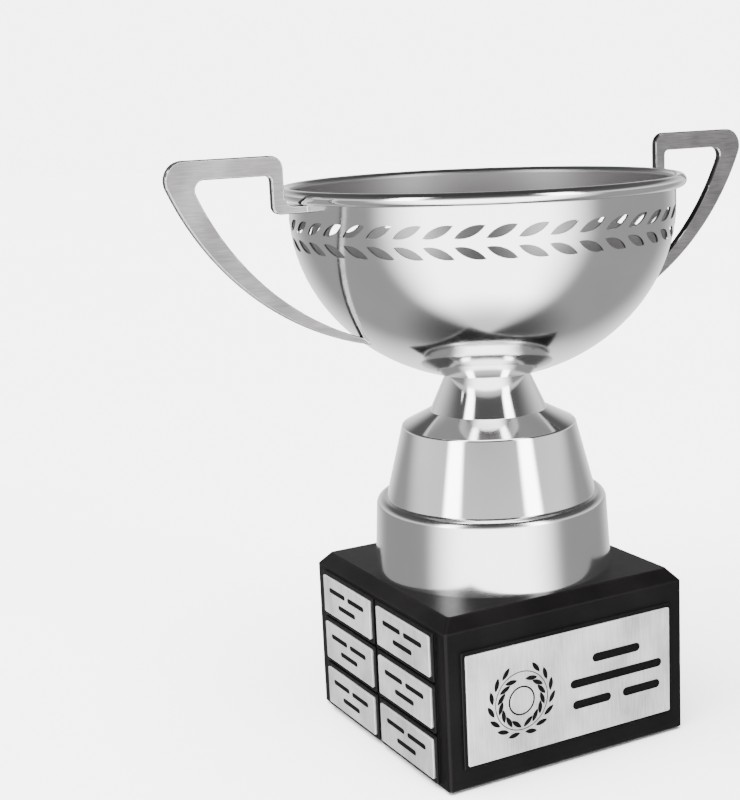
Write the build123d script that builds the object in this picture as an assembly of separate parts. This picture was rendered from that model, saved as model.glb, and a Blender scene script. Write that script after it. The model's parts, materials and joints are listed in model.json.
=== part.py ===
from build123d import *
import os
from math import asin, cos, degrees, hypot, radians, sin, sqrt

# Cup trophy: a spun metal bowl with pierced leaves and two plate handles, on a stack of spun
# risers and a black wooden plinth, all clamped by one threaded rod.
# Millimetres. +Z is up, the origin is the middle of the underside, the front plate faces -Y
# and the handles lie along X.

# ---------------------------------------------------------------- driving dimensions
# felt and plinth
felt_thickness = 1.5
felt_inset = 3.0
plinth_width = 130.0
plinth_depth = 130.0
plinth_height = 80.0
plinth_chamfer = 5.1
plinth_chamfer_drop = 5.9
plinth_corner_radius = 1.5

# spun pieces
sheet = 1.0
drum_height = 35.2
drum_top_radius = 55.5
drum_flare = 2.0
drum_shoulder_radius = 4.0
locating_disc_height = 12.0
locating_disc_play = 0.3
riser_height = 41.3
riser_ledge = 0.9
riser_taper = 8.7
riser_shoulder_drop = 6.9
riser_top_radius = 28.4
riser_edge_round = 1.5
neck_height = 17.6
neck_ledge = 0.4
neck_top_radius = 20.0

# bowl
bowl_wall = 1.0
rim_diameter = 190.0
bead_diameter = 5.8
bead_gap_angle = 65.0
bowl_straight = 9.5
bowl_round_depth = 81.2
bowl_flat_radius = 12.0

# pierced leaves: two rows, tips given as drops below the middle of the rim bead
leaf_count = 42
leaf_length_share = 0.99
leaf_swell_share = 0.145
upper_leaf_high_tip = 10.8
upper_leaf_low_tip = 16.1
lower_leaf_high_tip = 19.8
lower_leaf_low_tip = 25.0

# handles, cut from plate
handle_thickness = 3.8
handle_edge_bevel = 0.4
handle_rise = 19.0
bar_height = 8.55
leg_stand_off = 5.6
leg_width = 5.6
opening_width = 37.05
bar_end_width = 14.55
tab_gap = 0.25
tab_height = 3.4
tip_low_drop = 69.1
tip_high_drop = 65.7
tip_bury = 2.0
outer_sweep_bulge = 0.137
inner_sweep_bulge = 0.115
outer_corner_radius = 8.5
inner_top_corner_radius = 5.7
opening_corner_radius = 4.3
leg_corner_radius = 2.4
tab_inner_radius = 4.7
tab_outer_radius = 3.8

# clamping hardware
rod_diameter = 6.0
rod_hole_play = 0.25
thread_play = 0.02
nut_across_flats = 10.0
nut_height = 5.0
cap_nut_height = 12.0
cap_nut_side = 0.5
washer_diameter = 18.0
washer_thickness = 1.6
rod_end_proud = 1.5
rod_into_cap = 8.0
counterbore_diameter = 24.0
counterbore_depth = 14.0

# plates on the plinth
stock_main_plate_width = 111.8
stock_main_plate_height = 51.8
main_plate_border = 1.9
main_plate_margin = 2.0
stock_name_plate_width = 50.8
stock_name_plate_height = 19.05
name_plate_border = 2.1
name_plate_columns = 2
name_plate_rows = 3
name_plate_gap_across = 2.6
name_plate_gap_down = 1.05
backing_thickness = 1.4
plate_thickness = 0.8
plate_corner_radius = 0.8

# ---------------------------------------------------------------- sizes that follow
plinth_top = felt_thickness + plinth_height
drum_bottom_radius = drum_top_radius + drum_flare
riser_bottom_radius = drum_top_radius - drum_shoulder_radius - riser_ledge
riser_edge_radius = riser_bottom_radius - riser_taper
neck_bottom_radius = riser_top_radius - neck_ledge
drum_top = plinth_top + drum_height
riser_top = drum_top + riser_height
neck_top = riser_top + neck_height
rod_hole_radius = rod_diameter / 2 + rod_hole_play

rim_radius = rim_diameter / 2
bead_radius = bead_diameter / 2
bead_centre_radius = rim_radius - bead_radius
bowl_radius = rim_radius - bead_diameter + bowl_wall
neck_seat_depth = bowl_round_depth * sqrt(1 - (neck_top_radius / bowl_radius) ** 2)
bowl_centre = neck_top + neck_seat_depth
rim_height = bowl_centre + bowl_straight
bowl_flat_depth = bowl_round_depth * sqrt(1 - (bowl_flat_radius / bowl_radius) ** 2)
bowl_bottom = bowl_centre - bowl_flat_depth

side_height = plinth_height - plinth_chamfer_drop
plate_centre = felt_thickness + side_height / 2
main_width_room = plinth_width - 2 * (plinth_corner_radius + main_plate_border + main_plate_margin)
main_height_room = side_height - 2 * (main_plate_border + main_plate_margin)
main_plate_width = min(stock_main_plate_width, main_width_room)
main_plate_height = min(stock_main_plate_height, main_height_room)
column_room = (plinth_depth - 2 * plinth_corner_radius) / name_plate_columns
row_room = side_height / name_plate_rows
name_width_room = column_room - 2 * name_plate_border - name_plate_gap_across
name_height_room = row_room - 2 * name_plate_border - name_plate_gap_down
name_plate_width = min(stock_name_plate_width, name_width_room)
name_plate_height = min(stock_name_plate_height, name_height_room)
washer_seat = felt_thickness + counterbore_depth
plinth_nut_top = washer_seat - washer_thickness
rod_bottom = plinth_nut_top - nut_height - rod_end_proud
bowl_washer_bottom = bowl_bottom + bowl_wall
cap_nut_bottom = bowl_washer_bottom + washer_thickness
rod_top = cap_nut_bottom + rod_into_cap


# ---------------------------------------------------------------- helpers
def turned(outline):
    """A solid of revolution about Z from a closed outline drawn as (radius, height).

    It is turned by an eighth so that its seam lies between the handles.
    """
    return Rot(0, 0, 45) * revolve(make_face(Plane.XZ * outline), Axis.Z)


def upright_cylinder(radius, bottom, height):
    """A plain upright cylinder that stands on the height called bottom."""
    return Pos(0, 0, bottom) * Cylinder(radius, height, align=(Align.CENTER, Align.CENTER, Align.MIN))


def tube(outer_radius, inner_radius, bottom, height):
    """An upright cylinder with a straight bore."""
    return upright_cylinder(outer_radius, bottom, height) - upright_cylinder(inner_radius, bottom, height)


def slab(width, depth, bottom, height, corner):
    """A flat block with rounded upright edges."""
    return Pos(0, 0, bottom) * extrude(RectangleRounded(width, depth, corner), height)


def corner_at(face, across, height):
    """The corner of a flat face that lies nearest to a point."""
    return face.vertices().sort_by_distance((across, height, 0))[0]


def rounded(face, corners):
    """A flat face with the listed corners rounded: (across, height, radius)."""
    for across, height, radius in corners:
        face = fillet(corner_at(face, across, height), radius)
    return face


def set_in(points, distance):
    """A profile moved inwards by the sheet's thickness, with its corners kept sharp.

    The points run from the foot up to the axis; the first one stays at its own height.
    """
    lines = []
    for (r0, z0), (r1, z1) in zip(points, points[1:]):
        length = hypot(r1 - r0, z1 - z0)
        along = ((r1 - r0) / length, (z1 - z0) / length)
        start = (r0 - along[1] * distance, z0 + along[0] * distance)
        lines.append((start, along))
    (r0, z0), (ur, uz) = lines[0]
    moved = [(r0 + ur * (points[0][1] - z0) / uz, points[0][1])]
    for ((ra, za), (ua, va)), ((rb, zb), (ub, vb)) in zip(lines, lines[1:]):
        cross = ua * vb - va * ub
        step = ((rb - ra) * vb - (zb - za) * ub) / cross
        moved.append((ra + ua * step, za + va * step))
    moved.append((0, moved[-1][1] if len(lines) == 1 else lines[-1][0][1]))
    return moved


def spun_shell(points, radius_by_corner, bottom):
    """A hollow spun piece: open below, its profile rounded at the corners named by number."""
    outside = make_face(Polyline(*points, (0, bottom), close=True))
    inner_points = set_in(points, sheet)
    inside = make_face(Polyline(*inner_points, (0, bottom), close=True))
    for number, radius in radius_by_corner.items():
        outside = rounded(outside, [(*points[number], radius)])
        inside = rounded(inside, [(*inner_points[number], radius - sheet * 0.7)])
    body = revolve(Plane.XZ * outside, Axis.Z)
    return body - revolve(Plane.XZ * inside, Axis.Z)


# ---------------------------------------------------------------- plinth and base
def make_felt():
    width = plinth_width - 2 * felt_inset
    depth = plinth_depth - 2 * felt_inset
    pad = slab(width, depth, 0, felt_thickness, plinth_corner_radius)
    return pad - upright_cylinder(counterbore_diameter / 2, 0, felt_thickness)


def make_plinth():
    """A block with a sloping top edge; the corners are rounded all the way up."""
    block = Pos(0, 0, felt_thickness + plinth_height / 2) * Box(plinth_width, plinth_depth, plinth_height)
    top = block.faces().sort_by(Axis.Z)[-1]
    block = chamfer(top.edges(), plinth_chamfer, plinth_chamfer_drop, reference=top)
    corners = block.edges().filter_by(lambda edge: abs((edge % 0.5).Z) > 0.1)
    block = fillet(corners, plinth_corner_radius)
    block -= upright_cylinder(rod_hole_radius, felt_thickness, plinth_height)
    return block - upright_cylinder(counterbore_diameter / 2, felt_thickness, counterbore_depth)


def make_drum():
    points = [(drum_bottom_radius, plinth_top), (drum_top_radius, drum_top), (0, drum_top)]
    can = spun_shell(points, {1: drum_shoulder_radius}, plinth_top)
    return can - upright_cylinder(rod_hole_radius, plinth_top, drum_height)


def make_locating_disc():
    taper = (drum_bottom_radius - drum_top_radius) * locating_disc_height / drum_height
    radius = drum_bottom_radius - taper - sheet - locating_disc_play
    return tube(radius, rod_hole_radius, plinth_top, locating_disc_height)


# ---------------------------------------------------------------- risers
def make_lower_riser():
    points = [
        (riser_bottom_radius, drum_top),
        (riser_edge_radius, riser_top - riser_shoulder_drop),
        (riser_top_radius, riser_top),
        (0, riser_top),
    ]
    shell = spun_shell(points, {1: riser_edge_round}, drum_top)
    return shell - upright_cylinder(rod_hole_radius, drum_top, riser_height)


def make_neck():
    """A cone that is closed at its wide end; its narrow end is cut to sit on the bowl."""
    overlap = bowl_round_depth / 10
    lean = (neck_bottom_radius - neck_top_radius) / neck_height
    narrow = neck_top_radius - lean * overlap
    points = [(neck_bottom_radius, riser_top), (narrow, neck_top + overlap), (0, neck_top + overlap)]
    body = turned(Polyline(*points, (0, riser_top), close=True))
    hollow = [(r - sheet, z) for r, z in points[:2]]
    start = neck_bottom_radius - sheet - lean * sheet
    hollow[0] = (start, riser_top + sheet)
    body -= turned(Polyline(*hollow, (0, neck_top + overlap), (0, riser_top + sheet), close=True))
    body -= bowl_skin(0, rim_height)
    return body - upright_cylinder(rod_hole_radius, riser_top, neck_height)


# ---------------------------------------------------------------- bowl
def wall_radius(drop):
    """The bowl's outside radius at a drop below the middle of the rim bead."""
    below = max(drop - bowl_straight, 0)
    return bowl_radius * sqrt(1 - (below / bowl_round_depth) ** 2)


def bowl_skin(inset, top):
    """A filled bowl, full size or set in by the wall, up to the height called top."""
    across = bowl_radius - inset
    down = bowl_round_depth - inset
    flat = bowl_bottom + inset
    angle = asin((bowl_centre - flat) / down)
    flat_radius = across * cos(angle)
    turn = degrees(angle)
    curve = EllipticalCenterArc((0, bowl_centre), across, down, start_angle=-turn, arc_size=turn)
    sides = Polyline((across, bowl_centre), (across, top), (0, top), (0, flat), (flat_radius, flat))
    return turned(curve + sides)


def rim_curl():
    """The wall's top edge rolled outwards into a bead that stays open underneath."""
    hollow = bead_radius - bowl_wall
    centre = (bead_centre_radius, rim_height)
    start = bead_gap_angle - 180
    sweep = 360 - bead_gap_angle
    outside = CenterArc(centre, bead_radius, start, sweep)
    inside = CenterArc(centre, hollow, start, sweep)
    ends = Line(outside @ 0, inside @ 0) + Line(outside @ 1, inside @ 1)
    return turned(outside + inside + ends)


def leaf_cutter(left_drop, right_drop):
    """One pointed leaf, drawn flat against the wall at azimuth 0 and driven through it."""
    half = bowl_radius * sin(radians(180 / leaf_count)) * leaf_length_share
    left = Vector(-half, -left_drop)
    right = Vector(half, -right_drop)
    along = right - left
    across = Vector(-along.Y, along.X) * leaf_swell_share
    middle = (left + right) / 2
    upper = ThreePointArc(left, middle + across, right)
    lower = ThreePointArc(right, middle - across, left)
    tangent_plane = Plane(origin=(bowl_radius / 2, 0, rim_height), x_dir=(0, 1, 0), z_dir=(1, 0, 0))
    return extrude(tangent_plane * make_face(upper + lower), bowl_radius)


def make_bowl():
    shell = bowl_skin(0, rim_height) - bowl_skin(bowl_wall, rim_height)
    shell += rim_curl()
    upper = leaf_cutter(upper_leaf_low_tip, upper_leaf_high_tip)
    lower = leaf_cutter(lower_leaf_high_tip, lower_leaf_low_tip)
    cutters = []
    for index in range(leaf_count):
        turn = Rot(0, 0, (index + 0.5) * 360 / leaf_count)
        cutters.append(turn * upper)
        cutters.append(turn * lower)
    shell -= cutters
    return shell - upright_cylinder(rod_hole_radius, bowl_bottom - bowl_wall, 3 * bowl_wall)


# ---------------------------------------------------------------- handles
def handle_face():
    """The plate's outline as (distance from the axis, height above the rim's middle)."""
    root = bowl_radius - tab_height
    leg_inside = rim_radius + leg_stand_off
    leg_outside = leg_inside + leg_width
    opening_end = leg_outside + opening_width
    bar_end = opening_end + bar_end_width
    bar_under = handle_rise - bar_height
    tab_top = -bead_radius - tab_gap
    tab_bottom = tab_top - tab_height
    tip_low = (wall_radius(tip_low_drop) - tip_bury, -tip_low_drop)
    tip_high = (wall_radius(tip_high_drop) - tip_bury, -tip_high_drop)
    outer_length = hypot(bar_end - tip_low[0], handle_rise - tip_low[1])
    inner_length = hypot(opening_end - tip_high[0], bar_under - tip_high[1])

    head = Polyline((root, tab_top), (leg_inside, tab_top), (leg_inside, handle_rise), (bar_end, handle_rise))
    outer_sweep = SagittaArc((bar_end, handle_rise), tip_low, outer_length * outer_sweep_bulge)
    tip = Line(tip_low, tip_high)
    inner_sweep = SagittaArc(tip_high, (opening_end, bar_under), -inner_length * inner_sweep_bulge)
    under = Polyline(
        (opening_end, bar_under),
        (leg_outside, bar_under),
        (leg_outside, tab_bottom),
        (root, tab_bottom),
        (root, tab_top),
    )
    face = make_face(head + outer_sweep + tip + inner_sweep + under)
    corners = [
        (leg_inside, tab_top, tab_inner_radius),
        (leg_outside, tab_bottom, tab_outer_radius),
        (leg_inside, handle_rise, inner_top_corner_radius),
        (leg_outside, bar_under, leg_corner_radius),
        (opening_end, bar_under, opening_corner_radius),
        (bar_end, handle_rise, outer_corner_radius),
    ]
    return rounded(face, corners)


def make_handle():
    """One handle on the +X side, its ends cut to lie on the bowl."""
    face = Pos(0, 0, rim_height) * (Plane.XZ * handle_face())
    plate = extrude(face, handle_thickness / 2, both=True)
    faces = plate.faces().sort_by(Axis.Y)
    plate = chamfer(faces[0].edges() + faces[-1].edges(), handle_edge_bevel)
    return plate - bowl_skin(0, rim_height)


# ---------------------------------------------------------------- clamping hardware
def make_washer(bottom):
    return tube(washer_diameter / 2, rod_hole_radius, bottom, washer_thickness)


def hex_prism(bottom, height):
    corner_radius = nut_across_flats / 2 / cos(radians(30))
    return Pos(0, 0, bottom) * extrude(RegularPolygon(corner_radius, 6), height)


def make_plinth_nut(bottom):
    bore = rod_diameter / 2 + thread_play
    return hex_prism(bottom, nut_height) - upright_cylinder(bore, bottom, nut_height)


def make_cap_nut(bottom):
    """A domed nut: a hexagon below, and a rounded cap that closes the thread."""
    dome_radius = nut_across_flats / 2 - cap_nut_side
    dome_centre = bottom + cap_nut_height - dome_radius
    body = hex_prism(bottom, nut_height)
    body += upright_cylinder(dome_radius, bottom, dome_centre - bottom)
    body += Pos(0, 0, dome_centre) * Sphere(dome_radius)
    bore = rod_diameter / 2 + thread_play
    return body - upright_cylinder(bore, bottom, rod_into_cap + thread_play)


# ---------------------------------------------------------------- plates
def tile(width, height, thickness, stand_off):
    """A plate that faces -Y, its back at the distance called stand_off in front of the axis."""
    face = Plane(origin=(0, -stand_off, 0), x_dir=(1, 0, 0), z_dir=(0, -1, 0))
    return extrude(face * RectangleRounded(width, height, plate_corner_radius), thickness)


def name_plate_places():
    """Across and height of each name plate on a side of the plinth, left to right, top down."""
    pitch_across = name_plate_width + 2 * name_plate_border + name_plate_gap_across
    pitch_down = name_plate_height + 2 * name_plate_border + name_plate_gap_down
    places = []
    for row in range(name_plate_rows):
        for column in range(name_plate_columns):
            across = (column - (name_plate_columns - 1) / 2) * pitch_across
            down = (row - (name_plate_rows - 1) / 2) * pitch_down
            places.append((across, plate_centre - down))
    return places


# ---------------------------------------------------------------- build and write
handle = make_handle()
parts = {
    "felt_pad": make_felt(),
    "plinth": make_plinth(),
    "base_drum": make_drum(),
    "drum_locating_disc": make_locating_disc(),
    "lower_riser": make_lower_riser(),
    "neck_riser": make_neck(),
    "bowl": make_bowl(),
    "handle_right": handle,
    "handle_left": Rot(0, 0, 180) * handle,
    "tie_rod": upright_cylinder(rod_diameter / 2, rod_bottom, rod_top - rod_bottom),
    "plinth_nut": make_plinth_nut(plinth_nut_top - nut_height),
    "plinth_washer": make_washer(plinth_nut_top),
    "bowl_washer": make_washer(bowl_washer_bottom),
    "bowl_cap_nut": make_cap_nut(cap_nut_bottom),
}

main_backing_width = main_plate_width + 2 * main_plate_border
main_backing_height = main_plate_height + 2 * main_plate_border
backing_front = plinth_depth / 2 + backing_thickness
main_backing = tile(main_backing_width, main_backing_height, backing_thickness, plinth_depth / 2)
main_plate = tile(main_plate_width, main_plate_height, plate_thickness, backing_front)
parts["main_plate_backing"] = Pos(0, 0, plate_centre) * main_backing
parts["main_plate"] = Pos(0, 0, plate_centre) * main_plate

name_backing_width = name_plate_width + 2 * name_plate_border
name_backing_height = name_plate_height + 2 * name_plate_border
side_face = plinth_width / 2
side_front = side_face + backing_thickness
name_backing = tile(name_backing_width, name_backing_height, backing_thickness, side_face)
name_plate = tile(name_plate_width, name_plate_height, plate_thickness, side_front)
for side, turn in (("left", Rot(0, 0, -90)), ("right", Rot(0, 0, 90))):
    for number, (across, height) in enumerate(name_plate_places(), start=1):
        place = turn * Pos(across, 0, height)
        parts[f"{side}_plate_backing_{number}"] = place * name_backing
        parts[f"{side}_name_plate_{number}"] = place * name_plate

os.makedirs("parts", exist_ok=True)
for node, shape in parts.items():
    export_step(shape, f"parts/{node}.step")
    print(node, round(shape.volume, 1))
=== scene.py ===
# %% [markdown]
# # A two-handled cup trophy
#
# The real thing is a spun silver-plated bowl with two rows of pierced leaves, two handles cut
# from flat plate, three spun risers and a black wooden block that carries blank name plates.
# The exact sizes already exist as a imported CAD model. It is loaded first, and nothing in it is
# moved. Blender's job is the part that an eye checks: smooth curved metal, crisp small edges,
# and finishes that answer to light.

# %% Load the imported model
import json
from math import asin, cos, degrees, pi, radians, sin, sqrt, tan

import bpy
from mathutils import Matrix, Vector

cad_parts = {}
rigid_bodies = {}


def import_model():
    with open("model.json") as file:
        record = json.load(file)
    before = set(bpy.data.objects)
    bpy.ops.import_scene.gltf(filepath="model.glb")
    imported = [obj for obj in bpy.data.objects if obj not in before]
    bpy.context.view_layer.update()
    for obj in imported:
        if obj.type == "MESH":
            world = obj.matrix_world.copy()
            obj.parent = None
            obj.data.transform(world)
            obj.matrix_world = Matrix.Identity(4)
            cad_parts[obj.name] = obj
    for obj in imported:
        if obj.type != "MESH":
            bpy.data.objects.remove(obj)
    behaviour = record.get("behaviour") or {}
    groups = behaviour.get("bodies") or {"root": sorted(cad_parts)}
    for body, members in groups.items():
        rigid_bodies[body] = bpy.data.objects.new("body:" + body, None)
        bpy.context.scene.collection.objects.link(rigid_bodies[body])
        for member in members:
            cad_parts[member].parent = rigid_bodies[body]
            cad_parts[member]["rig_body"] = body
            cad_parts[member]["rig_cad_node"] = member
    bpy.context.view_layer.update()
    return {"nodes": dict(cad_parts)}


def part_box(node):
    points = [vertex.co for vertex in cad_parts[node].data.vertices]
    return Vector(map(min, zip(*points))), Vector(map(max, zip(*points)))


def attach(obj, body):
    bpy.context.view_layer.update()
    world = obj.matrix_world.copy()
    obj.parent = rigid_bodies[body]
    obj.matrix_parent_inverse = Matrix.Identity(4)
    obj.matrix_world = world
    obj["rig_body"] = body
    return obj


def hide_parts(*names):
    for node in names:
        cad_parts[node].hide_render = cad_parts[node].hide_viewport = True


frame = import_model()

mm = 0.001
nodes = frame["nodes"]
print("CAD nodes:", len(nodes))

# %% [markdown]
# ## Reading the heights from the model
#
# Every height that two pieces share is read from the CAD boxes, so nothing has to be fitted by
# eye. Only the curves between those heights are given here as numbers.

# %% Heights and radii
plinth_low, plinth_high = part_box("plinth")
drum_low, drum_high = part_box("base_drum")
riser_low, riser_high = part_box("lower_riser")
neck_low, neck_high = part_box("neck_riser")
bowl_low, bowl_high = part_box("bowl")

sheet = 1.0 * mm
rod_hole = 3.25 * mm
bead_radius = 2.9 * mm
rim_radius = bowl_high.x
rim_height = bowl_high.z - bead_radius
bowl_radius = rim_radius - 2 * bead_radius + sheet
straight_wall = 9.5 * mm
bowl_centre = rim_height - straight_wall
bowl_depth = 81.2 * mm
print("rim middle at", round(rim_height / mm, 2), "mm")
print("bowl radius", round(bowl_radius / mm, 2), "mm")

# %% [markdown]
# ## Small helpers for drawing a profile
#
# A lathe-turned or spun piece is one outline, carried round an axis. The outline is drawn the
# way it is done by hand: one vertex is extruded from point to point. Corners on spun metal are
# never sharp, so a helper works out the points of a rounded corner.


# %% Arcs, rounded corners and outlines
def deselect_all():
    """Leaves edit mode and clears the selection, because an operator acts on all of it."""
    if bpy.context.object and bpy.context.object.mode != "OBJECT":
        bpy.ops.object.mode_set(mode="OBJECT")
    bpy.ops.object.select_all(action="DESELECT")


def arc(centre, radius, first, last, steps):
    """Points of an arc in the (radius, height) plane, angles in degrees."""
    points = []
    for step in range(steps + 1):
        angle = radians(first + (last - first) * step / steps)
        points.append((centre[0] + radius * cos(angle), centre[1] + radius * sin(angle)))
    return points


def rounded(before, corner, after, radius, steps=8):
    """Points of the arc that rounds a corner between two straight runs."""
    corner = Vector(corner)
    back = (Vector(before) - corner).normalized()
    ahead = (Vector(after) - corner).normalized()
    half = back.angle(ahead) / 2
    centre = corner + (back + ahead).normalized() * radius / sin(half)
    start = corner + back * radius / tan(half) - centre
    end = corner + ahead * radius / tan(half) - centre
    whole = start.angle(end)
    points = []
    for step in range(steps + 1):
        share = step / steps
        spoke = (start * sin((1 - share) * whole) + end * sin(share * whole)) / sin(whole)
        points.append(tuple(centre + spoke))
    return points


def draw_outline(name, points, closed=True):
    """Draws an outline in the XZ plane by extruding one vertex, and leaves it in edit mode."""
    deselect_all()
    first = points[0]
    bpy.ops.mesh.primitive_plane_add(size=mm, location=(first[0], 0, first[1]))
    piece = bpy.context.object
    piece.name = name
    piece.data.name = name
    bpy.ops.object.transform_apply(location=True)
    bpy.ops.object.mode_set(mode="EDIT")
    bpy.ops.mesh.select_mode(type="VERT")
    bpy.ops.mesh.select_all(action="SELECT")
    bpy.ops.mesh.merge(type="CENTER")
    for here, there in zip(points, points[1:]):
        step = (there[0] - here[0], 0, there[1] - here[1])
        bpy.ops.mesh.extrude_vertices_move(TRANSFORM_OT_translate={"value": step})
    if closed:
        bpy.ops.object.mode_set(mode="OBJECT")
        last = len(piece.data.vertices) - 1
        for vertex in piece.data.vertices:
            vertex.select = vertex.index in (0, last)
        bpy.ops.object.mode_set(mode="EDIT")
        bpy.ops.mesh.edge_face_add()
    bpy.ops.mesh.select_all(action="SELECT")
    return piece


# %% [markdown]
# ## Turning a profile and keeping it smooth
#
# Spin carries the outline round the axis. On mirror-like metal the shading matters as much as
# the shape, so normals are weighted by face area: a wide cone then shades as a true cone right
# up to its rounded edge.


# %% Spin and smooth
def add_modifier(piece, kind, **settings):
    """Adds a modifier, sets it and applies it."""
    deselect_all()
    bpy.context.view_layer.objects.active = piece
    piece.select_set(True)
    modifier = piece.modifiers.new(kind.title(), kind)
    for key, value in settings.items():
        setattr(modifier, key, value)
    bpy.ops.object.modifier_apply(modifier=modifier.name)


def smooth(piece, angle=30):
    """Smooth shading up to an angle, with normals weighted by face area."""
    deselect_all()
    bpy.context.view_layer.objects.active = piece
    piece.select_set(True)
    bpy.ops.object.shade_smooth_by_angle(angle=radians(angle))
    add_modifier(piece, "WEIGHTED_NORMAL", mode="FACE_AREA", keep_sharp=True, weight=50)


def spin_outline(piece, steps):
    """Turns the outline that is being edited all the way round Z."""
    bpy.ops.mesh.spin(steps=steps, angle=2 * pi, center=(0, 0, 0), axis=(0, 0, 1))
    bpy.ops.mesh.select_all(action="SELECT")
    bpy.ops.mesh.remove_doubles(threshold=0.002 * mm)
    bpy.ops.mesh.normals_make_consistent(inside=False)
    bpy.ops.object.mode_set(mode="OBJECT")
    print(piece.name, "has", len(piece.data.polygons), "faces")


def turned_piece(name, points, steps=192):
    """A spun piece from its closed profile."""
    piece = draw_outline(name, points)
    spin_outline(piece, steps)
    return piece


# %% [markdown]
# ## The bowl
#
# The bowl is spun over a former and its edge is curled outwards into a bead. The profile runs
# up the outside, round the curl and back down the inside, so the sheet has its real thickness
# everywhere. The round part is a slightly flattened sphere, so it is drawn from the ellipse's
# own formula.


# %% Bowl profile
def bowl_wall(inset, steps, lowest_height):
    """Points up the round wall, from the pressed flat to the start of the straight wall."""
    across = bowl_radius - inset
    down = bowl_depth - inset
    start = asin((bowl_centre - lowest_height) / down)
    points = []
    for step in range(steps + 1):
        angle = start * (1 - step / steps)
        points.append((across * cos(angle), bowl_centre - down * sin(angle)))
    return points


# The rim is curled outwards and under; the gap is the angle that the curl leaves open.
curl_centre = (rim_radius - bead_radius, rim_height)
curl_gap = 65
outside = [(rod_hole, bowl_low.z)] + bowl_wall(0, 64, bowl_low.z)
curl_in = arc(curl_centre, bead_radius - sheet, 180, curl_gap - 180, 22)
curl_out = arc(curl_centre, bead_radius, curl_gap - 180, 180, 34)
inside = bowl_wall(sheet, 48, bowl_low.z + sheet)
inside.reverse()
bowl_profile = outside + curl_in + curl_out + inside + [(rod_hole, bowl_low.z + sheet)]

leaf_count = 42
bowl = turned_piece("cup_bowl", bowl_profile, steps=leaf_count * 8)

# %% [markdown]
# ## The pierced leaves
#
# The leaves are punched right through the wall, in two rows that lean towards each other like
# the two sides of a laurel. A leaf is two arcs that meet in points. It is modelled once as a
# small punch, carried round the bowl by Spin's duplicate option, and cut out with a Boolean.


# %% Leaf punches
def leaf_outline(length, swell, steps=7):
    """Half of a leaf's edge from tip to tip, and back again the other way."""
    radius = (length * length / 4 + swell * swell) / (2 * swell)
    reach = degrees(asin(length / 2 / radius))
    upper = arc((0, swell - radius), radius, 90 + reach, 90 - reach, steps)
    lower = arc((0, radius - swell), radius, -90 + reach, -90 - reach, steps)
    return upper + lower[1:-1]


def leaf_punches(name, left_drop, right_drop):
    """A ring of punches; the drops are below the rim, seen from outside."""
    share_of_step = 0.99
    swell_share = 0.145
    punch_depth = 6 * mm
    width = 2 * bowl_radius * sin(pi / leaf_count) * share_of_step
    slope = right_drop - left_drop
    length = sqrt(width * width + slope * slope)
    punch = draw_outline(name, leaf_outline(length, swell_share * length))
    bpy.ops.mesh.edge_face_add()
    bpy.ops.mesh.extrude_region_move(TRANSFORM_OT_translate={"value": (0, punch_depth, 0)})
    bpy.ops.mesh.select_all(action="SELECT")
    bpy.ops.mesh.normals_make_consistent(inside=False)
    bpy.ops.object.mode_set(mode="OBJECT")
    tilt = Matrix.Rotation(asin(slope / length), 4, "Y")
    outwards = Matrix.Rotation(radians(90 + 180 / leaf_count), 4, "Z")
    height = rim_height - (left_drop + right_drop) / 2
    place = Matrix.Translation((0, -bowl_radius - punch_depth / 2, height))
    punch.data.transform(outwards @ place @ tilt)
    bpy.ops.object.mode_set(mode="EDIT")
    bpy.ops.mesh.select_all(action="SELECT")
    turn = 2 * pi * (leaf_count - 1) / leaf_count
    bpy.ops.mesh.spin(steps=leaf_count - 1, dupli=True, angle=turn, center=(0, 0, 0), axis=(0, 0, 1))
    bpy.ops.object.mode_set(mode="OBJECT")
    print(name, "has", len(punch.data.polygons), "faces")
    return punch


upper_punches = leaf_punches("upper_punches", 16.1 * mm, 10.8 * mm)
lower_punches = leaf_punches("lower_punches", 19.8 * mm, 25.0 * mm)

# %% Cut the leaves
for punches in (upper_punches, lower_punches):
    add_modifier(bowl, "BOOLEAN", operation="DIFFERENCE", solver="EXACT", object=punches)
    bpy.data.objects.remove(punches)
smooth(bowl)
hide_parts("bowl")
print("pierced bowl has", len(bowl.data.polygons), "faces")

# %% [markdown]
# ## The drum and the two risers
#
# These are plain spun shells, stacked over one rod. What gives them their look is the small
# radius on each edge, which catches a thin bright line, so the drum and lower riser profiles
# round their corners, and every profile keeps its real wall.

# %% Drum
drum_top_edge = (drum_high.x - 2.0 * mm, drum_high.z)
drum_foot = (drum_high.x, drum_low.z)
drum_edge = rounded((0, drum_high.z), drum_top_edge, drum_foot, 4 * mm, 14)
drum_inner_top = (drum_top_edge[0] - sheet, drum_high.z - sheet)
drum_inner_foot = (drum_foot[0] - sheet, drum_low.z)
drum_inner_edge = rounded(drum_inner_foot, drum_inner_top, (0, drum_inner_top[1]), 3 * mm, 8)
drum_profile = [(rod_hole, drum_high.z)] + drum_edge + [drum_foot, drum_inner_foot]
drum_profile += drum_inner_edge + [(rod_hole, drum_inner_top[1])]
drum = turned_piece("spun_drum", drum_profile)
smooth(drum)
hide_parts("base_drum")

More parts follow.
